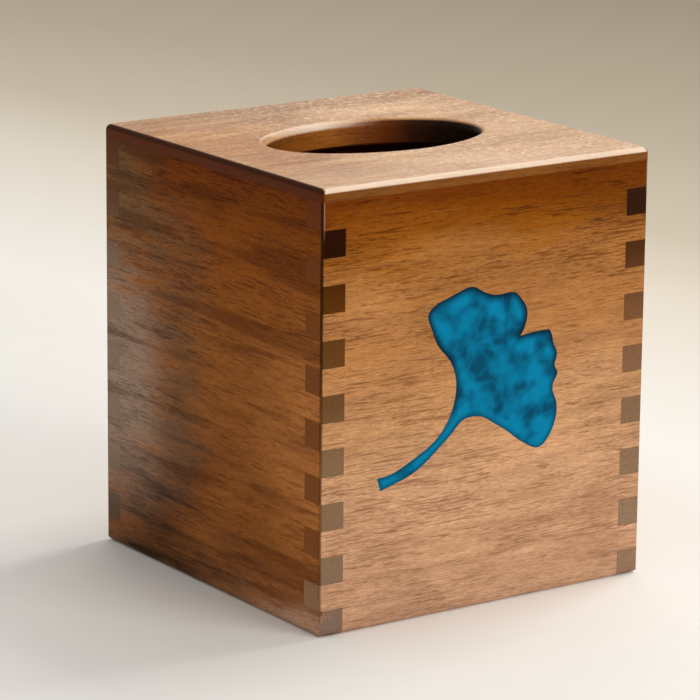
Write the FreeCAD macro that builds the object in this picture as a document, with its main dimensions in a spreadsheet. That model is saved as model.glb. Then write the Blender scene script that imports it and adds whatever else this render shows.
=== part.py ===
import FreeCAD, Part
import Sketcher
import math
import os

# A slip-over wooden cover for a cube carton of tissues.
# Four finger-jointed walls carry a rebated top board with an oval mouth, and a resin leaf
# is let into the front wall. The bottom is open. X runs to the right, Y to the back and
# Z up, from the middle of the base.

os.makedirs("parts", exist_ok=True)
doc = FreeCAD.newDocument("TissueBoxCover")

# Driving sizes, in millimetres
sizeRows = [
    ("box_width", "139.7", "across the front wall, outside"),
    ("box_depth", "139.7", "front to back, outside"),
    ("wall_height", "152.4", "from the base to the top board's lip"),
    ("wall_thickness", "9.525", "stock of the four walls"),
    ("finger_height", "9.525", "height of one finger of the corner joints"),
    ("top_thickness", "9.525", "stock of the top board"),
    ("lip_thickness", "4.76", "part of the top board that lies on the walls"),
    ("plug_clearance", "0.15", "between the top board's plug and the walls, each side"),
    ("mouth_length", "84", "long axis of the oval mouth, along X, below its rounded rim"),
    ("mouth_width", "54", "short axis of the oval mouth, along Y, below its rounded rim"),
    ("mouth_end", "20", "radius of the oval mouth's two ends"),
    ("mouth_round", "3.2", "rounding of the mouth's upper rim"),
    ("top_round", "2.2", "rounding of the top board's outer edges"),
    ("corner_round", "1.3", "rounding of the four upright corners"),
    ("base_round", "2.4", "rounding of the outer edges at the base"),
    ("leaf_height", "67.3", "lowest to highest point of the leaf"),
    ("leaf_left", "8", "leaf's middle, to the left of the front wall's middle"),
    ("leaf_up", "82.4", "leaf's middle, above the base"),
    ("inlay_depth", "3", "depth of the leaf's recess and thickness of its resin"),
]

sizes = doc.addObject("Spreadsheet::Sheet", "Sizes")
for row, (alias, number, meaning) in enumerate(sizeRows, start=1):
    sizes.set(f"A{row}", alias)
    sizes.set(f"B{row}", number)
    sizes.setAlias(f"B{row}", alias)
    sizes.set(f"C{row}", meaning)
doc.recompute()

# Outline of a ginkgo leaf, in hundredths of its height from its middle, as (right, up), in
# four runs that meet in corners: the stalk's upper side and the first lobe, the cleft's lower
# side, the scalloped edge with the blade's and the stalk's lower side, and the stalk's cut end.
leafOutline = [
    [
        (-57, -43), (-45, -41), (-34, -36), (-23, -30), (-14, -21), (-9, -10), (-8, 2), (-13, 14),
        (-20, 22), (-24, 31), (-26, 39), (-22, 43), (-14, 46), (-5, 49), (2, 50), (8, 47),
        (16, 44), (23, 44), (28, 44), (34, 39), (37, 34), (37, 28), (33, 20),
    ],
    [(33, 20), (42, 21), (52, 21)],
    [
        (52, 21), (54, 17), (55, 13), (57, 9), (57, 5), (56, 1), (58, -3), (56, -7), (55, -12),
        (57, -17), (58, -22), (57, -29), (53, -37), (46, -42), (40, -40), (32, -35), (24, -29),
        (16, -24), (9, -20), (3, -19), (-3, -20), (-9, -25), (-16, -31), (-25, -38), (-33, -43),
        (-44, -47), (-55, -50),
    ],
    [(-55, -50), (-57, -43)],
]

# A joint's last finger is left out where less than this share of its pitch remains
leastFinger = 0.01


def newSketch(body, role, name):
    sketch = body.newObject("Sketcher::SketchObject", name)
    plane = next(item for item in body.Origin.OriginFeatures if item.Role == role)
    sketch.AttachmentSupport = [(plane, "")]
    sketch.MapMode = "FlatFace"
    return sketch


def constrain(sketch, kind, *where):
    return sketch.addConstraint(Sketcher.Constraint(kind, *where))


def bindLength(sketch, kind, start, end, expression):
    length = constrain(sketch, kind, *start, *end, sizes.wall_thickness)
    sketch.setExpression(f"Constraints[{length}]", expression)


# Four lines in the order low, right, high, left. Returns the number of the low line.
def addRectangle(sketch, left, low, right, high):
    corners = [(left, low), (right, low), (right, high), (left, high)]
    points = [FreeCAD.Vector(across, up) for across, up in corners]
    first = sketch.GeometryCount
    for side in range(4):
        sketch.addGeometry(Part.LineSegment(points[side], points[(side + 1) % 4]))
    for side in range(4):
        constrain(sketch, "Coincident", first + side, 2, first + (side + 1) % 4, 1)
    for side in (0, 2):
        constrain(sketch, "Horizontal", first + side)
        constrain(sketch, "Vertical", first + side + 1)
    return first


def addPad(body, sketch, name, expression, reverse):
    pad = body.newObject("PartDesign::Pad", name)
    pad.Profile = sketch
    pad.Reversed = reverse
    pad.setExpression("Length", expression)
    return pad


# A rectangle about the sketch's own middle
def addCentredRectangle(sketch, width, depth):
    half = sizes.wall_thickness
    low = addRectangle(sketch, -half, -half, half, half)
    constrain(sketch, "Symmetric", low, 1, low + 2, 1, -1, 1)
    bindLength(sketch, "DistanceX", (low, 1), (low, 2), width)
    bindLength(sketch, "DistanceY", (low + 1, 1), (low + 1, 2), depth)


# Four tangent arcs: the right end, the back side, the left end and the front side
def addOval(sketch):
    halfLength = sizes.mouth_length / 2
    halfWidth = sizes.mouth_width / 2
    endAcross = halfLength - sizes.mouth_end
    endShort = halfWidth - sizes.mouth_end
    sideBack = (endAcross**2 - endShort**2) / (2 * endShort)
    turn = math.atan2(sideBack, endAcross)
    sideRadius = sideBack + halfWidth
    arcs = [
        (endAcross, 0, sizes.mouth_end, -turn, turn),
        (0, -sideBack, sideRadius, turn, math.pi - turn),
        (-endAcross, 0, sizes.mouth_end, math.pi - turn, math.pi + turn),
        (0, sideBack, sideRadius, math.pi + turn, 2 * math.pi - turn),
    ]
    upright = FreeCAD.Vector(0, 0, 1)
    for across, back, radius, start, end in arcs:
        circle = Part.Circle(FreeCAD.Vector(across, back), upright, radius)
        sketch.addGeometry(Part.ArcOfCircle(circle, start, end))
    for arc in range(4):
        constrain(sketch, "Tangent", arc, 2, (arc + 1) % 4, 1)
    constrain(sketch, "Equal", 0, 2)
    constrain(sketch, "Equal", 1, 3)
    constrain(sketch, "Symmetric", 0, 3, 2, 3, -1, 1)
    constrain(sketch, "PointOnObject", 0, 3, -1)
    bindLength(sketch, "Radius", (0,), (), "Sizes.mouth_end")
    between = "Sizes.mouth_length - 2 * Sizes.mouth_end"
    bindLength(sketch, "DistanceX", (2, 3), (0, 3), between)
    sketch.addGeometry(Part.Point(FreeCAD.Vector(0, halfWidth)), True)
    constrain(sketch, "PointOnObject", 4, 1, 1)
    constrain(sketch, "PointOnObject", 4, 1, -2)
    bindLength(sketch, "DistanceY", (-1, 1), (4, 1), "Sizes.mouth_width / 2")


def addLeaf(sketch):
    unit = sizes.leaf_height / 100
    for run in leafOutline:
        points = [FreeCAD.Vector(across * unit, up * unit) for across, up in run]
        edge = Part.BSplineCurve()
        edge.interpolate(Points=points)
        for span in edge.toBezier():
            sketch.addGeometry(span.toBSpline())
    sketch.setExpression("AttachmentOffset.Base.x", "-Sizes.leaf_left")
    sketch.setExpression("AttachmentOffset.Base.y", "Sizes.leaf_up")


# The block that the closed box would fill. Its edges are rounded along X, Y and Z on a block
# of their own, and what the three have in common has roundings that meet in mitres.
def buildOuterForm():
    softened = []
    for axis in "XYZ":
        block = doc.addObject("Part::Box", f"block_{axis}")
        block.setExpression("Length", "Sizes.box_width")
        block.setExpression("Width", "Sizes.box_depth")
        block.setExpression("Height", "Sizes.wall_height + Sizes.lip_thickness")
        block.setExpression("Placement.Base.x", "-Sizes.box_width / 2")
        block.setExpression("Placement.Base.y", "-Sizes.box_depth / 2")
        doc.recompute()
        roundings = []
        for number, edge in enumerate(block.Shape.Edges, start=1):
            along = edge.tangentAt(edge.FirstParameter)
            if abs(getattr(along, axis.lower())) < 0.5:
                continue
            radius = sizes.base_round if edge.CenterOfMass.z == 0 else sizes.top_round
            if axis == "Z":
                radius = sizes.corner_round
            roundings.append((number, radius, radius))
        rounded = doc.addObject("Part::Fillet", f"rounded_{axis}")
        rounded.Base = block
        rounded.Edges = roundings
        softened.append(rounded)
    form = doc.addObject("Part::MultiCommon", "outer_form")
    form.Shapes = softened
    return form


# What is left of a blank where it lies inside the softened block
def trimToOuterForm(blank, label):
    piece = doc.addObject("Part::Common", label)
    piece.Label = label
    piece.Base = blank
    piece.Tool = outerForm
    return piece


# A wall stands with its outer face on its own XZ plane and is then turned to its side of
# the box. Notches as deep as the next wall's stock leave its fingers at both ends, the
# first one `start` above the base.
def buildWall(label, length, turn, across, back, start, hasLeaf):
    body = doc.addObject("PartDesign::Body", f"{label}_blank")
    half = sizes.box_width / 2
    notched = half - sizes.wall_thickness
    low, high = sizes.finger_height, 2 * sizes.finger_height

    face = newSketch(body, "XZ_Plane", f"{label}_face")
    base = addRectangle(face, -half, 0, half, sizes.wall_height)
    constrain(face, "Symmetric", base, 1, base, 2, -1, 1)
    bindLength(face, "DistanceX", (base, 1), (base, 2), length)
    bindLength(face, "DistanceY", (base + 1, 1), (base + 1, 2), "Sizes.wall_height")
    stock = addPad(body, face, f"{label}_stock", "Sizes.wall_thickness", True)

    ends = newSketch(body, "XZ_Plane", f"{label}_ends")
    left = addRectangle(ends, -half, low, -notched, high)
    right = addRectangle(ends, notched, low, half, high)
    constrain(ends, "Symmetric", left, 1, right, 2, -2)
    constrain(ends, "Equal", left, right)
    constrain(ends, "Equal", left + 1, right + 1)
    bindLength(ends, "DistanceX", (left, 1), (right, 2), length)
    bindLength(ends, "DistanceX", (left, 1), (left, 2), "Sizes.wall_thickness")
    bindLength(ends, "DistanceY", (left + 1, 1), (left + 1, 2), "Sizes.finger_height")
    if start:
        bindLength(ends, "DistanceY", (-1, 1), (left, 1), start)
    else:
        constrain(ends, "PointOnObject", left, 1, -1)
    notch = body.newObject("PartDesign::Pocket", f"{label}_notch")
    notch.Profile = ends
    notch.Type = "ThroughAll"

    fingers = body.newObject("PartDesign::LinearPattern", f"{label}_fingers")
    fingers.Originals = [notch]
    fingers.Direction = (ends, ["V_Axis"])
    fingers.Mode = "Spacing"
    fingers.setExpression("Offset", "2 * Sizes.finger_height")
    room = f"(Sizes.wall_height - {start or 0}) / (2 * Sizes.finger_height)"
    fingers.setExpression("Occurrences", f"ceil({room} - {leastFinger})")
    body.Tip = fingers
    doc.recompute()
    assert fingers.Shape.Volume < notch.Shape.Volume < stock.Shape.Volume

    if hasLeaf:
        outline = newSketch(body, "XZ_Plane", f"{label}_leaf")
        addLeaf(outline)
        recess = body.newObject("PartDesign::Pocket", f"{label}_recess")
        recess.Profile = outline
        recess.setExpression("Length", "Sizes.inlay_depth")
        doc.recompute()
        assert recess.Shape.Volume < fingers.Shape.Volume

    body.Placement.Rotation = FreeCAD.Rotation(FreeCAD.Vector(0, 0, 1), turn)
    body.setExpression("Placement.Base.x", across)
    body.setExpression("Placement.Base.y", back)
    return trimToOuterForm(body, label)


# The lip lies on the walls' upper edges and the plug under it fits between the walls.
# An oval mouth runs through both, and its upper rim is rounded.
def buildTopBoard(label):
    body = doc.addObject("PartDesign::Body", f"{label}_blank")

    lipEdge = newSketch(body, "XY_Plane", f"{label}_lip_edge")
    addCentredRectangle(lipEdge, "Sizes.box_width", "Sizes.box_depth")
    addPad(body, lipEdge, f"{label}_lip", "Sizes.lip_thickness", False)

    plugEdge = newSketch(body, "XY_Plane", f"{label}_plug_edge")
    inset = "2 * (Sizes.wall_thickness + Sizes.plug_clearance)"
    addCentredRectangle(plugEdge, f"Sizes.box_width - {inset}", f"Sizes.box_depth - {inset}")
    plugDepth = "Sizes.top_thickness - Sizes.lip_thickness"
    plug = addPad(body, plugEdge, f"{label}_plug", plugDepth, True)

    oval = newSketch(body, "XY_Plane", f"{label}_oval")
    oval.setExpression("AttachmentOffset.Base.z", "Sizes.lip_thickness")
    addOval(oval)
    mouth = body.newObject("PartDesign::Pocket", f"{label}_mouth")
    mouth.Profile = oval
    mouth.Type = "ThroughAll"
    doc.recompute()
    assert mouth.Shape.Volume < plug.Shape.Volume

    rims = []
    for number, edge in enumerate(mouth.Shape.Edges, start=1):
        if edge.Curve.TypeId != "Part::GeomLine" and edge.BoundBox.ZMin > 0:
            rims.append(f"Edge{number}")
    rounding = body.newObject("PartDesign::Fillet", f"{label}_rim")
    rounding.Base = (mouth, rims)
    rounding.setExpression("Radius", "Sizes.mouth_round")
    body.Tip = rounding

    body.setExpression("Placement.Base.z", "Sizes.wall_height")
    return trimToOuterForm(body, label)


# Resin that was poured into the front wall's recess and sanded flush with its face
def buildLeafInlay(label):
    body = doc.addObject("PartDesign::Body", label)
    body.Label = label
    outline = newSketch(body, "XZ_Plane", f"{label}_outline")
    addLeaf(outline)
    addPad(body, outline, f"{label}_resin", "Sizes.inlay_depth", True)
    body.setExpression("Placement.Base.y", "-Sizes.box_depth / 2")
    return body


outerForm = buildOuterForm()

halfWidth = "Sizes.box_width / 2"
halfDepth = "Sizes.box_depth / 2"
secondFinger = "Sizes.finger_height"
pieces = [
    buildWall("front_panel", "Sizes.box_width", 0, "0", f"-{halfDepth}", None, True),
    buildWall("right_panel", "Sizes.box_depth", 90, halfWidth, "0", secondFinger, False),
    buildWall("back_panel", "Sizes.box_width", 180, "0", halfDepth, None, False),
    buildWall("left_panel", "Sizes.box_depth", 270, f"-{halfWidth}", "0", secondFinger, False),
    buildTopBoard("top_board"),
    buildLeafInlay("leaf_inlay"),
]
doc.recompute()

for item in doc.Objects:
    if "Invalid" in item.State or "Error" in item.State:
        raise RuntimeError(f"{item.Label} didn't build")
for piece in pieces:
    shape = piece.Shape
    if shape.isNull() or not shape.isValid() or len(shape.Solids) != 1:
        raise RuntimeError(f"{piece.Label} isn't one valid solid")

for piece in pieces:
    piece.Shape.exportStep(f"parts/{piece.Label}.step")
    print(f"{piece.Label}: {piece.Shape.Volume / 1000:.1f} cm3")
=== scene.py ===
# Walnut cover for a cube carton of tissues, with a leaf of blue resin in its front wall
import math
import bmesh
import bpy
import numpy as np
from mathutils import Matrix, Vector
from mathutils.geometry import delaunay_2d_cdt


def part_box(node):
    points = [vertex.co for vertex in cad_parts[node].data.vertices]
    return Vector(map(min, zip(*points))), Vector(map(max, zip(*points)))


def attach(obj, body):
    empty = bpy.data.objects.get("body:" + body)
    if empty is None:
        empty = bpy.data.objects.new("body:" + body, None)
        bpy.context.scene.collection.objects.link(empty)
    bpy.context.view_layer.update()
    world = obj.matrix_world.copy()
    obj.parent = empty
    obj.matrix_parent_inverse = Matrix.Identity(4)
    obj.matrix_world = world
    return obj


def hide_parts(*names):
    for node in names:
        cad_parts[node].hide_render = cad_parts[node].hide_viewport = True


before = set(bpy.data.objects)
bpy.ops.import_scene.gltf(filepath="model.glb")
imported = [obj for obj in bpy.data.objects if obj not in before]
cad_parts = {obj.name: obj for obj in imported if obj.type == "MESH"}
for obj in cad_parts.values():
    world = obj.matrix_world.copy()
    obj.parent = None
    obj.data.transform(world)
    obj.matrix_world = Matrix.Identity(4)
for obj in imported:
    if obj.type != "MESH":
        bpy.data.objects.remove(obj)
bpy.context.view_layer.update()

mm = 0.001

# sizes that the frame gives, in metres
frontLow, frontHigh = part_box("front_panel")
topLow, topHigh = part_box("top_board")
halfWidth = frontHigh.x
halfDepth = topHigh.y
wallHeight = frontHigh.z
coverHeight = topHigh.z
wallStock = frontHigh.y - frontLow.y
fingersPerCorner = 16
fingerHeight = wallHeight / fingersPerCorner


# small helpers for shader nodes

def setInput(tree, node, socket, value):
    if isinstance(value, bpy.types.NodeSocket):
        tree.links.new(value, node.inputs[socket])
    else:
        node.inputs[socket].default_value = value


def addNode(tree, kind, inputs=(), **settings):
    node = tree.nodes.new(kind)
    for name, value in settings.items():
        setattr(node, name, value)
    for socket, value in dict(inputs).items():
        setInput(tree, node, socket, value)
    return node


def calc(tree, operation, *values):
    return addNode(tree, "ShaderNodeMath", dict(enumerate(values)), operation=operation).outputs[0]


def times(tree, product, *others):
    for other in others:
        product = calc(tree, "MULTIPLY", product, other)
    return product


def plus(tree, first, second):
    return calc(tree, "ADD", first, second)


def minus(tree, first, second):
    return calc(tree, "SUBTRACT", first, second)


def unsigned(tree, value):
    return calc(tree, "ABSOLUTE", value)


def sloped(tree, value, slope, start):  # value times slope, plus start
    return plus(tree, times(tree, value, slope), start)


def centred(tree, pattern, amount):  # a noise of middle 0.5, moved to middle 0 and scaled
    return times(tree, minus(tree, pattern, 0.5), amount)


def smooth(tree, value, start, end):  # from 0 at the start to 1 at the end
    node = addNode(tree, "ShaderNodeMapRange", {0: value, 1: start, 2: end},
                   interpolation_type="SMOOTHSTEP")
    return node.outputs[0]


def vectorLength(tree, x, y):
    vector = addNode(tree, "ShaderNodeCombineXYZ", {0: x, 1: y}).outputs[0]
    node = addNode(tree, "ShaderNodeVectorMath", {0: vector}, operation="LENGTH")
    return node.outputs["Value"]


def rgba(colour):
    return (*colour, 1.0)


def mixColour(tree, share, first, second, blend="MIX"):
    node = addNode(tree, "ShaderNodeMix", data_type="RGBA", blend_type=blend)
    for socket, value in ((0, share), (6, first), (7, second)):
        setInput(tree, node, socket, rgba(value) if isinstance(value, tuple) else value)
    return node.outputs[2]


def shaded(tree, colour, tint):
    return mixColour(tree, 1.0, colour, tint, "MULTIPLY")


def ramp(tree, value, stops):
    node = addNode(tree, "ShaderNodeValToRGB", {0: value})
    elements = node.color_ramp.elements
    while len(elements) < len(stops):
        elements.new(1.0)
    for element, (place, colour) in zip(elements, stops):
        element.position = place
        element.color = rgba(colour)
    return node.outputs[0]


def noise(tree, vector, scale, detail=2.0, rough=0.5, distort=0.0):
    node = addNode(tree, "ShaderNodeTexNoise", {
        "Vector": vector, "Scale": scale, "Detail": detail, "Roughness": rough,
        "Distortion": distort})
    return node.outputs[0]


def scaled(tree, vector, along, across):
    node = addNode(tree, "ShaderNodeMapping", {"Vector": vector, "Scale": (along, across, across)})
    return node.outputs[0]


def newMaterial(name):
    material = bpy.data.materials.new(name)
    material.use_nodes = True
    tree = material.node_tree
    coordinates = addNode(tree, "ShaderNodeTexCoord").outputs
    inMm = scaled(tree, coordinates["Object"], 1 / mm, 1 / mm)
    return material, tree, tree.nodes["Principled BSDF"], inMm, coordinates["Normal"]


def addBump(tree, shader, height, strength, depth):  # depth in mm
    node = addNode(tree, "ShaderNodeBump", {
        "Height": height, "Strength": strength, "Distance": depth * mm})
    tree.links.new(node.outputs[0], shader.inputs["Normal"])


# walnut

# "grain" is the axis along the board, "shift" moves its patterns and "heart" is where the
# tree's middle lies across and up from it, both in mm. "tones" are the board's colour from its
# lowest to its highest point and "ends" that of its end grain. The soft patches are partly
# heartwood and sapwood and partly painted light and shade (painted sheen, painted reflection and
# painted shadow): middle along the board and up it (or across the top board), the two radii in
# mm, colour and strength.
woodLooks = {
    "frontWalnut": dict(
        grain="X", shift=(13, 4, 7), heart=(30, -60), upEven=True, gloss=0.04, level=0.94,
        bands=0.25,
        # paler towards the foot: partly the wood's own colour, partly a painted reflection of the
        # pale floor
        tones=((0.0, (0.615, 0.36, 0.22)), (0.06, (0.62, 0.35, 0.205)),
               (0.30, (0.635, 0.355, 0.195)), (0.46, (0.57, 0.298, 0.137)),
               (0.56, (0.51, 0.24, 0.095)), (0.66, (0.45, 0.197, 0.064)),
               (0.82, (0.40, 0.158, 0.038)), (0.885, (0.30, 0.093, 0.005)),
               (0.95, (0.205, 0.049, 0.0)), (1.0, (0.155, 0.032, 0.0))),
        ends=((0.1, (0.36, 0.19, 0.105)), (0.2, (0.245, 0.08, 0.015)),
              (0.75, (0.22, 0.06, 0.006)), (1.0, (0.15, 0.03, 0.001))),
        stainsAndPaintedLight=((-20, 130, 34, 9, (0.47, 0.20, 0.055), 0.5),
                (-42, 139, 34, 15, (0.36, 0.12, 0.012), 0.25),
                (55, 150, 35, 18, (0.13, 0.03, 0.001), 0.5),
                (48, 70, 26, 22, (0.68, 0.39, 0.20), 0.4),
                (-52, 112, 26, 14, (0.52, 0.24, 0.09), 0.4),
                (5, 22, 30, 12, (0.48, 0.25, 0.13), 0.35))),
    "backWalnut": dict(
        grain="X", shift=(71, 9, 31), heart=(-40, 240), upEven=True, gloss=0.05, level=0.9,
        bands=0.4,
        tones=((0.0, (0.50, 0.26, 0.125)), (0.5, (0.46, 0.21, 0.08)), (1.0, (0.24, 0.07, 0.008))),
        ends=((0.09, (0.14, 0.085, 0.045)), (0.25, (0.34, 0.24, 0.17)),
              (0.65, (0.33, 0.22, 0.15)), (0.85, (0.165, 0.07, 0.026)),
              (1.0, (0.12, 0.032, 0.003))),
        stainsAndPaintedLight=((-30, 100, 40, 20, (0.36, 0.14, 0.04), 0.6),
                (35, 45, 50, 25, (0.56, 0.30, 0.15), 0.5))),
    "leftWalnut": dict(
        grain="Y", shift=(5, 47, 2), heart=(60, 260), upEven=False, gloss=0.015, level=0.88,
        bands=0.75,
        tones=((0.0, (0.42, 0.19, 0.085)), (0.07, (0.34, 0.12, 0.036)),
               (0.2, (0.31, 0.10, 0.018)), (0.36, (0.36, 0.12, 0.025)),
               (0.56, (0.375, 0.127, 0.025)), (0.82, (0.325, 0.09, 0.009)),
               (0.95, (0.23, 0.055, 0.003)), (1.0, (0.205, 0.044, 0.002))),
        ends=((0.03, (0.25, 0.16, 0.115)), (0.16, (0.27, 0.17, 0.10)),
              (0.41, (0.25, 0.15, 0.075)), (0.53, (0.17, 0.08, 0.03)),
              (0.66, (0.14, 0.055, 0.012)), (0.78, (0.10, 0.03, 0.003)),
              (0.88, (0.024, 0.005, 0.0005))),
        stainsAndPaintedLight=((-62, 62, 34, 52, (0.62, 0.23, 0.06), 0.75),
                # grey patch at the back: a painted sheen, the pale floor's reflection
                (68, 64, 50, 66, (0.46, 0.34, 0.26), 0.87),
                (20, 60, 20, 44, (0.16, 0.085, 0.045), 0.6),
                # dark patch at the foot towards the back: painted shadow where the box meets the
                # floor
                (34, -12, 62, 44, (0.032, 0.012, 0.004), 0.92),
                # pale patch at the front foot: a painted reflection of the bright floor in front
                (-70, -2, 46, 14, (0.72, 0.44, 0.30), 0.75),
                (20, 108, 26, 36, (0.24, 0.105, 0.045), 0.55),
                (64, 134, 42, 30, (0.24, 0.125, 0.05), 0.85))),
    "rightWalnut": dict(
        grain="Y", shift=(93, 17, 55), heart=(-50, 230), upEven=False, gloss=0.05, level=0.9,
        bands=0.4,
        tones=((0.0, (0.50, 0.26, 0.125)), (0.5, (0.46, 0.21, 0.08)), (1.0, (0.25, 0.075, 0.008))),
        ends=((0.16, (0.31, 0.19, 0.115)), (0.41, (0.25, 0.145, 0.08)),
              (0.53, (0.24, 0.12, 0.06)), (0.66, (0.19, 0.08, 0.03)),
              (0.78, (0.09, 0.03, 0.006)), (0.88, (0.03, 0.008, 0.001))),
        stainsAndPaintedLight=((30, 95, 40, 22, (0.36, 0.14, 0.04), 0.6),
                (-35, 40, 45, 25, (0.57, 0.31, 0.15), 0.5))),
    "topWalnut": dict(
        grain="X", shift=(37, 23, 81), heart=(20, -120), upEven=True, gloss=0.05, level=1.0,
        bands=0.12,
        tones=((0.98, (0.185, 0.056, 0.007)), (1.0, (0.21, 0.07, 0.012))),
        ends=((0.9, (0.15, 0.042, 0.008)), (0.97, (0.125, 0.024, 0.001)),
              (1.0, (0.11, 0.021, 0.001))),
        # patches on the top: a painted sheen, pale towards the front and weaker, so darker, at the
        # left and the back
        stainsAndPaintedLight=((-60, 18, 54, 72, (0.46, 0.172, 0.024), 0.9),
                (0, -64, 90, 26, (0.72, 0.46, 0.29), 0.5),
                (22, 70, 110, 36, (0.40, 0.18, 0.055), 0.85))),
}

# Each pattern is a noise: cycles per mm along and across the grain, detail, roughness, distortion
grainPatterns = dict(
    wander=(0.011, 0.03, 2.0, 0.5, 0.0),
    ringFade=(0.012, 0.05, 1.0, 0.5, 0.0),
    cloud=(0.022, 0.05, 3.0, 0.5, 0.5),
    wide=(0.022, 0.30, 3.0, 0.6, 0.3),
    fine=(0.17, 1.7, 3.0, 0.7, 0.3),
    fibre=(0.42, 4.2, 2.0, 0.6, 0.0),
    streak=(0.09, 1.5, 1.5, 0.5, 0.5),
    pore=(0.32, 3.1, 1.0, 0.5, 0.0),
    drift=(0.025, 0.10, 2.0, 0.5, 0.0),
    bands=(0.010, 0.13, 2.5, 0.6, 0.4),
    glint=(0.45, 0.42, 2.0, 0.8, 0.0),
    endGrain=(0.4, 1.6, 4.0, 0.7, 0.0),
)

woodGrain = dict(
    ringSpacing=5.2,  # mm between growth rings
    ringWander=10.0,  # mm that a ring strays along the board
    ringDepth=0.16,  # how dark a ring's late wood is
    cloud=0.8, wide=0.55, fine=1.0, fibre=0.8,  # how much each pattern lightens and darkens
    swingMost=0.5,  # the most that they do so together
    swingTint=(0.9, 1.12, 1.3),  # how strongly red, green and blue follow them
    wobble=1.1,  # how far the edges of stains and tones wander
    toneWobble=0.12,
    streakDepth=0.52,  # how dark a thin streak is
    poreDepth=0.48,  # how dark a pore is
    depthRise=0.6,  # how much darker such marks are at a wall's top than at its foot
    markDrift=0.34,  # how unevenly streaks and pores are spread
    markTint=(0.34, 0.24, 0.18), bandTint=(0.50, 0.46, 0.44),
    endSwing=(0.75, 1.25),  # the end grain's darkest and palest speck
    jointLine=0.16, jointSoft=0.4,  # mm, width of the dark line round a finger, and its softness
    jointDark=0.5, seatDark=0.5,  # how dark that line is, and the share of it at the top's seat
    arrisDark=0.88, arrisPale=0.3,  # how dark the painted shade and how pale the painted highlight on the two halves of an upright edge are
    arrisFoot=0.35,  # how much of the painted shade on the dark half is left at a wall's foot
    arrisSplit=0.6,  # where the two halves meet
    # the first colour darkens the joint lines and also the painted shade on upright edges and on
    # the top board's end rims; the second is the painted highlight on upright edges
    lineTint=(0.02, 0.008, 0.003), highlightTint=(0.66, 0.44, 0.30),
    relief=0.05, markRelief=-0.8, gritRelief=0.3,  # mm, and the share of marks and grit in it
    grit=(0.8, 2.0, 0.6),  # cycles per mm, detail and roughness
    bump=0.5, rough=0.28, roughSwing=0.16, endRough=0.12,
)

# Where a mark starts to show and where it is full
woodFades = dict(
    lateRise=(0.30, 0.9), lateDrop=(1.0, 0.92), ringFade=(0.35, 0.65),
    streak=(0.255, 0.175), pore=(0.225, 0.135), bands=(0.50, 0.36),
    stainOrLight=(1.25, 0.2), stainOrLightFacing=(0.45, 0.95), endGrain=(0.3, 0.7),
    wallEnd=(0.45, 0.95),  # by how far a face looks along the grain
    arris=(0.08, 0.32), arrisHeight=(0.2, 0.85), paleHeight=(0.90, 0.97),
)

topLook = dict(
    # the flat top's colour: walnut paled by a painted sheen
    face=(0.635, 0.36, 0.175),
    # the mouth's wall: painted light and shade, dark at the left end, lit around the middle and in
    # shadow towards the right end
    mouth=((0.13, (0.157, 0.049, 0.008)), (0.22, (0.228, 0.070, 0.008)),
           (0.40, (0.38, 0.12, 0.016)), (0.51, (0.44, 0.145, 0.025)),
           (0.63, (0.28, 0.078, 0.013)), (0.745, (0.14, 0.03, 0.005)),
           (0.83, (0.041, 0.013, 0.004)), (0.92, (0.02, 0.008, 0.004))),
    mouthSpan=90,  # mm along the board that the colours of the mouth's wall run over
    mouthReach=55,  # mm from the middle that still belong to the mouth
    mouthDark=(-10, 25),  # mm along the board between which the mouth's rim grows dark with painted shade
    # how far that painted shade pulls the face's colour off the rim, and how much of the rim's
    # painted highlight it takes
    mouthDarkFace=0.5, mouthDarkRim=0.7,
    faceUp=(0.15, 0.45), endUp=(0.15, 0.6),  # by how far a face looks up, and along the grain
    rimHighlight=0.66, paintedRimTint=(0.95, 0.80, 0.66),  # painted highlight, pale, on rims that look forward
    rimUp=(0.12, 0.4), rimFlat=(0.995, 0.93), rimForward=(0.5, 0.1),
    rimBroken=0.9, rimLeast=0.55,  # how unevenly the painted highlight runs
    rimDark=0.58, darkEnd=(0.1, 0.6), darkUp=(0.1, 0.4),  # painted shade on the rims over end grain
    streaks=0.45,  # how much of the streaks shows
    glint=0.58, glintTint=(0.94, 0.76, 0.58),  # painted glints: pale flecks of light on the lacquer
    glintShows=(0.50, 0.62), glintFlat=(0.93, 0.995),
    glintAlong=(-60, 10), glintMore=0.65, glintLeast=0.3,  # painted glints thicken from left to right
    relief=0.14, gritRelief=1.6,
)


def grainNoise(tree, board, name):
    along, across, detail, rough, distort = grainPatterns[name]
    return noise(tree, scaled(tree, board, along, across), 1.0, detail, rough, distort)


# Late wood: distance from the tree's heart, bent by slow noise and folded into rings
def ringMarks(tree, board, turned, heart):
    fromHeart = vectorLength(tree, minus(tree, turned[1], heart[0]),
                             minus(tree, turned[2], heart[1]))
    wander = centred(tree, grainNoise(tree, board, "wander"), 2 * woodGrain["ringWander"])
    rings = calc(tree, "DIVIDE", plus(tree, fromHeart, wander), woodGrain["ringSpacing"])
    place = calc(tree, "FRACT", rings)
    return times(tree, smooth(tree, place, *woodFades["lateRise"]),
                 smooth(tree, place, *woodFades["lateDrop"]),
                 smooth(tree, grainNoise(tree, board, "ringFade"), *woodFades["ringFade"]))


# A streak or a pore shows where its noise, less a slow drift, falls low
def thinMark(tree, board, name, drift):
    return smooth(tree, minus(tree, grainNoise(tree, board, name), drift), *woodFades[name])


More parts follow.
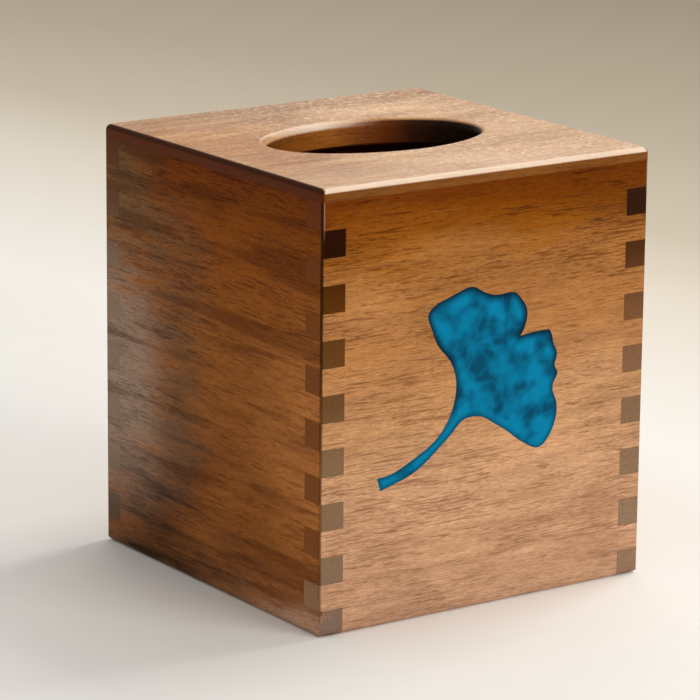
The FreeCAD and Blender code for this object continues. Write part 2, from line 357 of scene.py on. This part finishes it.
# One soft patch, a stain or painted light and shade: full inside a fifth of its radii, gone
# past them, with a wandering edge
def addStainOrPaintedLight(tree, tone, stainOrLight, along, up, wobble, facing):
    middleAlong, middleUp, reachAlong, reachUp, tint, strength = stainOrLight
    away = vectorLength(tree, calc(tree, "DIVIDE", minus(tree, along, middleAlong), reachAlong),
                        calc(tree, "DIVIDE", minus(tree, up, middleUp), reachUp))
    share = times(tree, smooth(tree, plus(tree, away, wobble), *woodFades["stainOrLight"]), strength)
    if facing:
        share = times(tree, share, smooth(tree, facing, *woodFades["stainOrLightFacing"]))
    return mixColour(tree, share, tone, tint)


# The top board's own parts: the mouth's wall coloured along the board with painted light and
# shade, the flat face, painted glints on it, and a painted highlight on the rims that look
# forward. A rim is a face between upright and flat.
def topParts(tree, tone, board, parts, sides, wide):
    outward = calc(tree, "MAXIMUM", unsigned(tree, parts[0]), unsigned(tree, parts[1]))
    inMouth = calc(tree, "LESS_THAN", outward, topLook["mouthReach"])
    along = plus(tree, calc(tree, "DIVIDE", parts[0], topLook["mouthSpan"]), 0.5)
    tone = mixColour(tree, inMouth, tone, ramp(tree, along, topLook["mouth"]))
    # painted shade over the mouth's rim towards its right end
    paintedShade = times(tree, inMouth, smooth(tree, parts[0], *topLook["mouthDark"]))
    upward = minus(tree, sides[2], times(tree, paintedShade, topLook["mouthDarkFace"]))
    tone = mixColour(tree, smooth(tree, upward, *topLook["faceUp"]), tone, topLook["face"])
    toRight = smooth(tree, parts[0], *topLook["glintAlong"])
    glints = times(tree, smooth(tree, grainNoise(tree, board, "glint"), *topLook["glintShows"]),
                   smooth(tree, sides[2], *topLook["glintFlat"]),
                   sloped(tree, toRight, topLook["glintMore"], topLook["glintLeast"]))
    # the painted highlight on forward rims, dimmed where the mouth's rim is in painted shade
    paintedHighlight = minus(tree, topLook["rimHighlight"], times(tree, paintedShade, topLook["mouthDarkRim"]))
    paintedRim = times(tree, smooth(tree, sides[2], *topLook["rimUp"]),
                smooth(tree, sides[2], *topLook["rimFlat"]),
                smooth(tree, unsigned(tree, sides[0]), *topLook["rimForward"]), paintedHighlight,
                sloped(tree, wide, topLook["rimBroken"], topLook["rimLeast"]))
    return tone, inMouth, times(tree, glints, topLook["glint"]), paintedRim


# An upright edge turns half to the side and half to the front: the side half is dark with
# painted shade, most so towards the top, and the front half is pale with a painted highlight
# close under the top board
def addArris(tree, colour, sides, height):
    sideOn, faceOn = unsigned(tree, sides[0]), unsigned(tree, sides[1])
    arris = smooth(tree, calc(tree, "MINIMUM", sideOn, faceOn), *woodFades["arris"])
    sideHalf = calc(tree, "GREATER_THAN", sideOn, times(tree, faceOn, woodGrain["arrisSplit"]))
    paintedHighlight = times(tree, arris, minus(tree, 1.0, sideHalf),
                 smooth(tree, height, *woodFades["paleHeight"]), woodGrain["arrisPale"])
    upTo = sloped(tree, smooth(tree, height, *woodFades["arrisHeight"]),
                  1 - woodGrain["arrisFoot"], woodGrain["arrisFoot"])
    paintedShade = times(tree, arris, sideHalf, upTo, woodGrain["arrisDark"])
    return mixColour(tree, paintedHighlight, colour, woodGrain["highlightTint"]), paintedShade


# 1 within half a line's width of the edge of a finger that comes through from the next wall,
# less on the top board's seat. Such fingers are the even ones on the front and back walls.
def jointLines(tree, parts, upEven):
    half = woodGrain["jointLine"] / 2
    finger = fingerHeight / mm
    innerX = (halfWidth - wallStock) / mm
    innerY = (halfDepth - wallStock) / mm
    top = wallHeight / mm

    def nearValue(value, target):
        away = unsigned(tree, minus(tree, value, target))
        soft = half * woodGrain["jointSoft"]
        return minus(tree, 1.0, smooth(tree, away, half - soft, half + soft))

    across, back = unsigned(tree, parts[0]), unsigned(tree, parts[1])
    corner = times(tree, calc(tree, "GREATER_THAN", across, innerX - half),
                   calc(tree, "GREATER_THAN", back, innerY - half),
                   calc(tree, "LESS_THAN", parts[2], top + half))
    count = calc(tree, "DIVIDE", parts[2], finger)
    fold = unsigned(tree, minus(tree, calc(tree, "FRACT", plus(tree, count, 0.5)), 0.5))
    level = nearValue(times(tree, fold, finger), 0.0)
    odd = calc(tree, "GREATER_THAN", calc(tree, "FRACT", times(tree, count, 0.5)), 0.5)
    through = minus(tree, 1.0, odd) if upEven else odd
    edge = times(tree, nearValue(across, innerX) if upEven else nearValue(back, innerY), through)
    lines = times(tree, calc(tree, "MAXIMUM", level, edge), corner)
    seat = times(tree, nearValue(parts[2], top), woodGrain["seatDark"])
    return times(tree, calc(tree, "MAXIMUM", lines, seat), woodGrain["jointDark"])


# A board's colour is its tone by height with stains and patches of painted light and shade,
# lightened and darkened by noise stretched along the grain, then dark bands, rings, streaks and
# pores. Faces square to the grain show end grain, and dark lines follow the joints. Upright edges
# get painted shade and a painted highlight; the top board gets painted light and shade in its
# mouth, painted glints, a painted highlight on its forward rims and painted shade on its end rims.
def makeWalnut(name):
    look = woodLooks[name]
    onTop = name == "topWalnut"
    material, tree, shader, inMm, normal = newMaterial(name)
    parts = addNode(tree, "ShaderNodeSeparateXYZ", {0: inMm}).outputs
    sides = addNode(tree, "ShaderNodeSeparateXYZ", {0: normal}).outputs
    grainAxis = "XY".index(look["grain"])
    turned = (parts[grainAxis], parts[1 - grainAxis], parts[2])
    board = addNode(tree, "ShaderNodeCombineXYZ", dict(enumerate(turned))).outputs[0]
    board = addNode(tree, "ShaderNodeVectorMath", {0: board, 1: look["shift"]},
                    operation="ADD").outputs[0]
    height = calc(tree, "DIVIDE", parts[2], wallHeight / mm)

    patterns = {pattern: grainNoise(tree, board, pattern)
                for pattern in ("cloud", "wide", "fine", "fibre")}
    shown = topLook["streaks"] if onTop else 1.0
    swing = centred(tree, patterns["cloud"], woodGrain["cloud"])
    for pattern in ("wide", "fine", "fibre"):
        amount = woodGrain[pattern] * math.sqrt(shown)
        swing = plus(tree, swing, centred(tree, patterns[pattern], amount))
    most = woodGrain["swingMost"]
    swing = addNode(tree, "ShaderNodeClamp", {0: swing, 1: -most, 2: most}).outputs[0]
    tint = addNode(tree, "ShaderNodeVectorMath", {
        0: swing, 1: woodGrain["swingTint"], 2: (1.0, 1.0, 1.0)},
        operation="MULTIPLY_ADD").outputs[0]
    tint = addNode(tree, "ShaderNodeVectorMath", {0: tint, "Scale": look["level"]},
                   operation="SCALE").outputs[0]

    wobble = plus(tree, centred(tree, patterns["cloud"], woodGrain["wobble"]),
                  centred(tree, patterns["wide"], woodGrain["wobble"]))
    tone = ramp(tree, plus(tree, height, times(tree, wobble, woodGrain["toneWobble"])),
                look["tones"])
    if onTop:
        tone, inMouth, glints, paintedRim = topParts(tree, tone, board, parts, sides, patterns["wide"])
    for stainOrLight in look["stainsAndPaintedLight"]:
        tone = addStainOrPaintedLight(tree, tone, stainOrLight, turned[0], turned[1] if onTop else turned[2], wobble,
                        sides[2] if onTop else None)
    if onTop:
        # painted glints on the flat top
        tone = mixColour(tree, glints, tone, topLook["glintTint"])
    colour = shaded(tree, tone, tint)

    drift = times(tree, grainNoise(tree, board, "drift"), woodGrain["markDrift"])
    streak = thinMark(tree, board, "streak", drift)
    pore = thinMark(tree, board, "pore", drift)
    bands = smooth(tree, grainNoise(tree, board, "bands"), *woodFades["bands"])
    darkened = shaded(tree, colour, woodGrain["markTint"])
    colour = mixColour(tree, times(tree, bands, look["bands"]), colour,
                       shaded(tree, colour, woodGrain["bandTint"]))
    rise = woodGrain["depthRise"]
    stronger = 1.0 if onTop else sloped(tree, height, rise, 1 - rise / 2)
    for mark, depth in ((ringMarks(tree, board, turned, look["heart"]), "ringDepth"),
                        (streak, "streakDepth"), (pore, "poreDepth")):
        share = times(tree, mark, stronger, woodGrain[depth] * shown)
        colour = mixColour(tree, share, colour, darkened)
    if onTop:
        # painted highlight on the forward rims
        colour = mixColour(tree, paintedRim, colour, topLook["paintedRimTint"])

    alongGrain = unsigned(tree, sides[grainAxis])
    if onTop:
        endOn = times(tree, smooth(tree, alongGrain, *topLook["endUp"]), minus(tree, 1.0, inMouth))
    else:
        endOn = smooth(tree, alongGrain, *woodFades["wallEnd"])
    darkest, palest = (share * look["level"] for share in woodGrain["endSwing"])
    low, high = woodFades["endGrain"]
    endTint = addNode(tree, "ShaderNodeMapRange", {
        0: grainNoise(tree, board, "endGrain"), 1: low, 2: high, 3: darkest, 4: palest}).outputs[0]
    colour = mixColour(tree, endOn, colour, shaded(tree, ramp(tree, height, look["ends"]), endTint))
    lines = jointLines(tree, parts, look["upEven"])
    if onTop:
        # painted shade on the top board's rims over end grain
        edge = times(tree, smooth(tree, endOn, *topLook["darkEnd"]),
                     smooth(tree, sides[2], *topLook["darkUp"]), topLook["rimDark"])
        colour = mixColour(tree, edge, colour, woodGrain["lineTint"])
    else:
        # upright edges: a painted highlight on the front half and painted shade on the side half,
        # drawn with the joint lines
        colour, arris = addArris(tree, colour, sides, height)
        lines = calc(tree, "MAXIMUM", arris, lines)
    colour = mixColour(tree, lines, colour, woodGrain["lineTint"])
    tree.links.new(colour, shader.inputs["Base Color"])

    shape = topLook if onTop else woodGrain
    grit = times(tree, noise(tree, inMm, *woodGrain["grit"]), shape["gritRelief"])
    marks = times(tree, plus(tree, pore, streak), woodGrain["markRelief"])
    relief = plus(tree, plus(tree, marks, patterns["fine"]), grit)
    addBump(tree, shader, relief, woodGrain["bump"], shape["relief"])
    rough = plus(tree, woodGrain["rough"], centred(tree, patterns["fine"], woodGrain["roughSwing"]))
    rough = plus(tree, rough, times(tree, endOn, woodGrain["endRough"]))
    tree.links.new(rough, shader.inputs["Roughness"])
    shader.inputs["Specular IOR Level"].default_value = look["gloss"]
    return material


# blue resin

resinLook = dict(
    deep=(0.0, 0.066, 0.135), body=(0.0, 0.116, 0.226), bright=(0.0, 0.20, 0.38),
    deepAt=0.43, bodyAt=0.52, brightAt=0.65,
    clouds=0.8, drift=0.3,  # how much the small and the wide clouds count
    cloudNoise=(0.14, 1.4, 0.5, 0.2),  # cycles per mm, detail, roughness, distortion
    driftNoise=(0.055, 1.0), threadNoise=(0.17, 0.6, 0.5, 0.3),
    middle=(4.0, 13.0), middleDeeper=0.06,  # mm from the edge over which the blade deepens
    stalk=(100.0, 60.0), stalkBrighter=0.05,  # heights in mm between which the stalk begins
    stalkRim=1.1,  # mm that the rim of painted shadow is narrower there
    rimStart=-0.4, rimWidth=3.6, paintedRimTint=(0.0, 0.012, 0.030),  # the rim of painted shadow: start and width in mm from the edge, and its colour
    threads=0.28, threadWidth=0.10, rough=0.18, gloss=0.04, bump=0.3, relief=0.3,
)


# Small clouds of deeper and brighter blue, deepest in the middle of the blade, and a dark rim
# of painted shadow, cast by the wood's edge onto the slightly sunk resin, whose width follows
# the attribute "fromEdge", each point's distance to the leaf's edge in mm
def makeResin():
    material, tree, shader, inMm, _ = newMaterial("blueResin")
    clouds = noise(tree, inMm, *resinLook["cloudNoise"])
    drift = noise(tree, inMm, *resinLook["driftNoise"])
    height = addNode(tree, "ShaderNodeSeparateXYZ", {0: inMm}).outputs[2]
    low = smooth(tree, height, *resinLook["stalk"])
    fromEdge = addNode(tree, "ShaderNodeAttribute", attribute_name="fromEdge").outputs["Fac"]
    middle = smooth(tree, fromEdge, *resinLook["middle"])
    depth = plus(tree, times(tree, clouds, resinLook["clouds"]),
                 times(tree, drift, resinLook["drift"]))
    depth = minus(tree, depth, times(tree, middle, resinLook["middleDeeper"]))
    depth = plus(tree, depth, times(tree, low, resinLook["stalkBrighter"]))
    colour = ramp(tree, depth, [(resinLook[blue + "At"], resinLook[blue])
                                for blue in ("deep", "body", "bright")])
    threads = unsigned(tree, centred(tree, noise(tree, inMm, *resinLook["threadNoise"]), 1.0))
    threads = times(tree, smooth(tree, threads, resinLook["threadWidth"], 0.0),
                    resinLook["threads"])
    colour = mixColour(tree, threads, colour, resinLook["bright"])
    inward = plus(tree, fromEdge, times(tree, low, resinLook["stalkRim"]))
    # the dark rim: painted shadow along the leaf's edge
    paintedRim = minus(tree, 1.0, smooth(tree, inward, resinLook["rimStart"], resinLook["rimWidth"]))
    colour = mixColour(tree, paintedRim, colour, resinLook["paintedRimTint"])
    tree.links.new(colour, shader.inputs["Base Color"])
    addBump(tree, shader, clouds, resinLook["bump"], resinLook["relief"])
    shader.inputs["Roughness"].default_value = resinLook["rough"]
    shader.inputs["Specular IOR Level"].default_value = resinLook["gloss"]
    return material


# meshes

meshCare = dict(
    weld=0.001,  # mm
    flat=0.5, sharp=35,  # angles in degrees
    largeFaces=100,  # how strongly large faces lead the shading, in per cent
)


# A piece of the cover: it rides on the body and stands in for one node of the frame
def addPiece(name, mesh, material, node):
    mesh.materials.clear()
    mesh.materials.append(material)
    piece = bpy.data.objects.new(name, mesh)
    bpy.context.scene.collection.objects.link(piece)
    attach(piece, "root")
    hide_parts(node)
    mesh.shade_smooth()
    mesh.set_sharp_from_angle(angle=math.radians(meshCare["sharp"]))
    return piece


def meshFrom(name, points, faces):
    mesh = bpy.data.meshes.new(name)
    mesh.from_pydata(np.asarray(points).tolist(), [], faces)
    return mesh


def weldedCopy(node):
    shape = bmesh.new()
    shape.from_mesh(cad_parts[node].data)
    bmesh.ops.remove_doubles(shape, verts=shape.verts, dist=meshCare["weld"] * mm)
    return shape


# A wall keeps its CAD shape: its loose triangles are welded so that its roundings shade smoothly
def dressWall(name, material, node):
    shape = weldedCopy(node)
    bmesh.ops.dissolve_limit(shape, angle_limit=math.radians(meshCare["flat"]), verts=shape.verts,
                             edges=shape.edges)
    mesh = bpy.data.meshes.new(name)
    shape.to_mesh(mesh)
    shape.free()
    piece = addPiece(name, mesh, material, node)
    flatten = piece.modifiers.new("flatFacesFirst", "WEIGHTED_NORMAL")
    flatten.keep_sharp = True
    flatten.weight = meshCare["largeFaces"]


# The top board's sizes in mm. "mouthEnd" is the radius of the oval's two ends and "under" the
# small bevel at the mouth's lower edge.
topShape = dict(
    cornerRadius=1.3, edgeRound=2.2, mouthLong=84.0, mouthShort=54.0, mouthEnd=20.0,
    mouthRound=3.2, plugGap=0.15, under=0.6, roundSteps=10, cornerSteps=8, sideSteps=24,
    ovalSteps=2881,
)


# Loop points of a square whose corners are arcs: a corner's centre plus a turned radius.
# Every inset of the loop has the same number of points.
def squareLoop(half):
    corner = topShape["cornerRadius"]
    turns = np.linspace(0.0, np.pi / 2, topShape["cornerSteps"] + 1)
    shares = np.linspace(0.0, 1.0, topShape["sideSteps"] + 2)[1:-1, None]
    arcs = []
    for start in np.arange(4) * np.pi / 2:
        middle = start + np.pi / 4
        centre = (half - corner) * np.sign([np.cos(middle), np.sin(middle)])
        turned = np.stack([np.cos(start + turns), np.sin(start + turns)], axis=1)
        arcs.append(centre + corner * turned)
    closed = []
    for arc, following in zip(arcs, arcs[1:] + arcs[:1]):
        closed += [arc, arc[-1] * (1 - shares) + following[0] * shares]
    return np.concatenate(closed)


# The oval's four tangent arcs as distance from the middle over direction, grown by an offset
def ovalLoop(directions, grown):
    half, short, end = topShape["mouthLong"] / 2, topShape["mouthShort"] / 2, topShape["mouthEnd"]
    endAcross, endShort = half - end, short - end
    sideBack = (endAcross**2 - endShort**2) / (2 * endShort)
    side = sideBack + short
    turn = np.arctan2(sideBack, endAcross)
    angles = np.linspace(0, 2 * np.pi, topShape["ovalSteps"])
    folded = np.abs(np.mod(angles + np.pi / 2, np.pi) - np.pi / 2)
    onEnd = folded < turn
    centreX = np.where(onEnd, endAcross * np.sign(np.cos(angles)), 0.0)
    centreY = np.where(onEnd, 0.0, -sideBack * np.sign(np.sin(angles)))
    reach = np.where(onEnd, end, side) + grown
    x = centreX + reach * np.cos(angles)
    y = centreY + reach * np.sin(angles)
    polar = np.mod(np.arctan2(y, x), 2 * np.pi)
    order = np.argsort(polar)
    far = np.interp(np.mod(directions, 2 * np.pi), polar[order], np.hypot(x, y)[order],
                    period=2 * np.pi)
    return np.stack([far * np.cos(directions), far * np.sin(directions)], axis=1)


# One closed surface, like a ring: around the board by one parameter and round its section by
# the other, from the lip's outer edge over the top, down the mouth and back along the underside
def makeTopBoard(material):
    half = halfWidth / mm
    top = coverHeight / mm
    seat = wallHeight / mm
    base = topLow.z / mm
    plug = half - wallStock / mm - topShape["plugGap"]
    guide = squareLoop(half)
    directions = np.arctan2(guide[:, 1], guide[:, 0])
    turns = np.linspace(0.0, np.pi / 2, topShape["roundSteps"] + 1)
    rings = []

    def addRing(flat, height):
        rings.append(np.column_stack([flat, np.full(len(flat), height)]))

    def rounded(radius, turn):  # how far in and how high a rounding is at a turn
        return radius * (1 - np.cos(turn)), top - radius * (1 - np.sin(turn))

    addRing(guide, seat)
    for turn in turns:
        inset, height = rounded(topShape["edgeRound"], turn)
        addRing(squareLoop(half - inset), height)
    for turn in turns[::-1]:
        grown, height = rounded(topShape["mouthRound"], turn)
        addRing(ovalLoop(directions, grown), height)
    addRing(ovalLoop(directions, 0.0), base + topShape["under"])
    addRing(ovalLoop(directions, topShape["under"]), base)
    addRing(squareLoop(plug), base)
    addRing(squareLoop(plug), seat)
    total, count = len(rings), len(guide)
    row, column = np.meshgrid(np.arange(total), np.arange(count), indexing="ij")
    nextRow, nextColumn = (row + 1) % total, (column + 1) % count
    quads = np.stack([row * count + column, row * count + nextColumn,
                      nextRow * count + nextColumn, nextRow * count + column], axis=-1)
    mesh = meshFrom("topBoard", np.concatenate(rings) * mm, quads.reshape(-1, 4).tolist())
    addPiece("topBoard", mesh, material, "top_board")


# The leaf's sizes in mm: the net's step, the rim's depth under the wall, the dish of its face,
# how far from the edge the net's own points stay, how near the front a front face lies and
# how near two points are one
leafShape = dict(
    gridStep=0.9, rimDrop=0.02, dish=0.12, dishWidth=4.0, keepOff=0.35, near=0.01, join=1e-6,
)


# The edge of the frame's own resin, as points in the front face's plane
def leafOutline(faceY):
    shape = weldedCopy("leaf_inlay")
    near = leafShape["near"] * mm
    front = [face for face in shape.faces if abs(face.calc_center_median().y - faceY) < near]
    inFront = set(front)
    following = {}
    for face in front:
        for loop in face.loops:
            if sum(other in inFront for other in loop.edge.link_faces) == 1:
                following[loop.vert.index] = loop.link_loop_next.vert.index
    shape.verts.ensure_lookup_table()
    order = [next(iter(following))]
    while following[order[-1]] != order[0]:
        order.append(following[order[-1]])
    outline = np.array([(shape.verts[i].co.x, shape.verts[i].co.z) for i in order]) / mm
    shape.free()
    return outline


# Distance of each point to the nearest stretch of a closed outline, and whether it lies inside
def edgeDistance(points, outline):
    tiny = 1e-12
    start = outline[None, :, :]
    step = np.roll(outline, -1, axis=0)[None, :, :] - start
    reach = points[:, None, :] - start
    share = np.clip((reach * step).sum(-1) / np.maximum((step**2).sum(-1), tiny), 0, 1)
    away = np.linalg.norm(reach - share[..., None] * step, axis=-1).min(1)
    rises = (start[..., 1] > points[:, None, 1]) != ((start + step)[..., 1] > points[:, None, 1])
    slope = np.where(np.abs(step[..., 1]) > tiny, step[..., 1], tiny)
    crossing = start[..., 0] + (points[:, None, 1] - start[..., 1]) * step[..., 0] / slope
    inside = (rises & (points[:, None, 0] < crossing)).sum(1) % 2 == 1
    return away, inside


# The leaf's face is a net of points inside its outline, sunk by a dish that deepens with the
# distance to the edge. That distance is kept for the resin's rim.
def makeLeaf(material):
    faceLow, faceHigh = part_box("leaf_inlay")
    outline = leafOutline(faceLow.y)
    step = leafShape["gridStep"]
    across = np.arange(outline[:, 0].min(), outline[:, 0].max(), step)
    up = np.arange(outline[:, 1].min(), outline[:, 1].max(), step * math.sqrt(3) / 2)
    gridX, gridZ = np.meshgrid(across, up)
    gridX[1::2] += step / 2
    grid = np.column_stack([gridX.ravel(), gridZ.ravel()])
    away, inside = edgeDistance(grid, outline)
    flat = np.concatenate([outline, grid[inside & (away > leafShape["keepOff"])]])
    ring = np.arange(len(outline))
    following = (ring + 1) % len(outline)
    edges = np.stack([ring, following], axis=1).tolist()
    net, _, triangles, *_ = delaunay_2d_cdt([Vector(p) for p in flat.tolist()], edges, [], 1,
                                            leafShape["join"])
    flat = np.array([tuple(p) for p in net])
    triangles = np.array([list(t) for t in triangles])
    away, _ = edgeDistance(flat, outline)
    away[:len(outline)] = 0.0
    sink = leafShape["rimDrop"] + leafShape["dish"] * (1 - np.exp(-away / leafShape["dishWidth"]))
    count = len(flat)
    front = np.column_stack([flat[:, 0], faceLow.y / mm + sink, flat[:, 1]])
    back = np.column_stack([flat[:, 0], np.full(count, faceHigh.y / mm), flat[:, 1]])
    walls = np.stack([ring, ring + count, following + count, following], axis=1)
    faces = triangles.tolist() + (triangles[:, ::-1] + count).tolist() + walls.tolist()
    mesh = meshFrom("leafResin", np.concatenate([front, back]) * mm, faces)
    shape = bmesh.new()
    shape.from_mesh(mesh)
    bmesh.ops.recalc_face_normals(shape, faces=shape.faces)
    shape.to_mesh(mesh)
    shape.free()
    stored = mesh.attributes.new("fromEdge", "FLOAT", "POINT")
    stored.data.foreach_set("value", np.tile(away, 2).astype(np.float32))
    addPiece("leafResin", mesh, material, "leaf_inlay")


materials = {name: makeWalnut(name) for name in woodLooks}
resin = makeResin()
print("materials made")

for side in ("front", "back", "left", "right"):
    dressWall(f"{side}Wall", materials[f"{side}Walnut"], f"{side}_panel")
print("walls dressed")
makeTopBoard(materials["topWalnut"])
makeLeaf(resin)
print("top board and leaf made")


# floor: its tones run from pale to dark along "fadeTowards", a painted falloff of the light away
# from the cover

floorLook = dict(
    halfSize=6.0,  # metres
    rough=0.7, gloss=0.1,
    fadeTowards=(1.47, 0.19, 0.0), fadeLength=2000.0,  # mm
    tones=((0.03, (0.965, 0.955, 0.925)), (0.09, (0.93, 0.915, 0.875)),
           (0.14, (0.94, 0.925, 0.89)), (0.28, (0.78, 0.72, 0.62)), (0.36, (0.61, 0.54, 0.43)),
           (0.50, (0.49, 0.425, 0.325)), (0.60, (0.445, 0.385, 0.29)), (1.0, (0.30, 0.25, 0.19))),
    gritNoise=(0.06, 4.0),  # cycles per mm and detail
    grit=((0.2, (0.985, 0.985, 0.985)), (0.8, (1.0, 1.0, 1.0))),
)


def makeFloor():
    material, tree, shader, inMm, _ = newMaterial("paleFloor")
    away = addNode(tree, "ShaderNodeVectorMath", {0: inMm, 1: floorLook["fadeTowards"]},
                   operation="DOT_PRODUCT").outputs["Value"]
    away = calc(tree, "DIVIDE", away, floorLook["fadeLength"])
    grit = ramp(tree, noise(tree, inMm, *floorLook["gritNoise"]), floorLook["grit"])
    colour = shaded(tree, ramp(tree, away, floorLook["tones"]), grit)
    tree.links.new(colour, shader.inputs["Base Color"])
    shader.inputs["Roughness"].default_value = floorLook["rough"]
    shader.inputs["Specular IOR Level"].default_value = floorLook["gloss"]
    far = floorLook["halfSize"]
    corners = [(-far, -far, 0), (far, -far, 0), (far, far, 0), (-far, far, 0)]
    mesh = meshFrom("floor", corners, [(0, 1, 2, 3)])
    mesh.materials.append(material)
    floor = bpy.data.objects.new("floor", mesh)
    bpy.context.scene.collection.objects.link(floor)


# lights: each is an area lamp at a place, aimed at the cover's middle, and a soft sky

lampLooks = {
    "keyRight": dict(place=(0.86, 0.08, 1.25), size=0.6, watts=8.7, colour=(1.0, 0.97, 0.93)),
    "fillFront": dict(place=(0.5, -1.5, 0.75), size=1.0, watts=12.8, colour=(1.0, 0.97, 0.93)),
    "glowBack": dict(place=(1.3, 2.0, 1.4), size=1.7, watts=10.0, colour=(1.0, 0.96, 0.91)),
}
skyLook = dict(colour=(1.0, 0.97, 0.93), strength=0.49)


def makeLights():
    aim = Vector((0, 0, coverHeight / 2))
    for name, look in lampLooks.items():
        lamp = bpy.data.lights.new(name, "AREA")
        lamp.size = look["size"]
        lamp.energy = look["watts"]
        lamp.color = look["colour"]
        holder = bpy.data.objects.new(name, lamp)
        holder.location = look["place"]
        towards = aim - Vector(look["place"])
        holder.rotation_euler = towards.to_track_quat("-Z", "Y").to_euler()
        holder.visible_camera = False
        bpy.context.scene.collection.objects.link(holder)
    world = bpy.data.worlds.new("softRoom")
    world.use_nodes = True
    background = world.node_tree.nodes["Background"]
    background.inputs["Color"].default_value = rgba(skyLook["colour"])
    background.inputs["Strength"].default_value = skyLook["strength"]
    bpy.context.scene.world = world


# camera: found from the perspective of the finger joints, with angles in degrees

cameraLook = dict(
    place=(-0.77448, -1.09509, 0.41684), heading=-34.94, dip=14.19, roll=0.57,
    lens=196.36, sensor=36.0, nearest=0.05, farthest=50.0,
)


def makeCamera():
    look = cameraLook
    camera = bpy.data.cameras.new("camera")
    camera.lens = look["lens"]
    camera.sensor_width = look["sensor"]
    camera.clip_start = look["nearest"]
    camera.clip_end = look["farthest"]
    holder = bpy.data.objects.new("camera", camera)
    pose = Matrix.Translation(look["place"])
    for angle, axis in ((look["heading"], "Z"), (90 - look["dip"], "X"), (look["roll"], "Z")):
        pose = pose @ Matrix.Rotation(math.radians(angle), 4, axis)
    holder.matrix_world = pose
    bpy.context.scene.collection.objects.link(holder)
    bpy.context.scene.camera = holder


makeFloor()
makeLights()
makeCamera()
bpy.context.scene.view_settings.view_transform = "Standard"
print("floor, lights and camera placed")
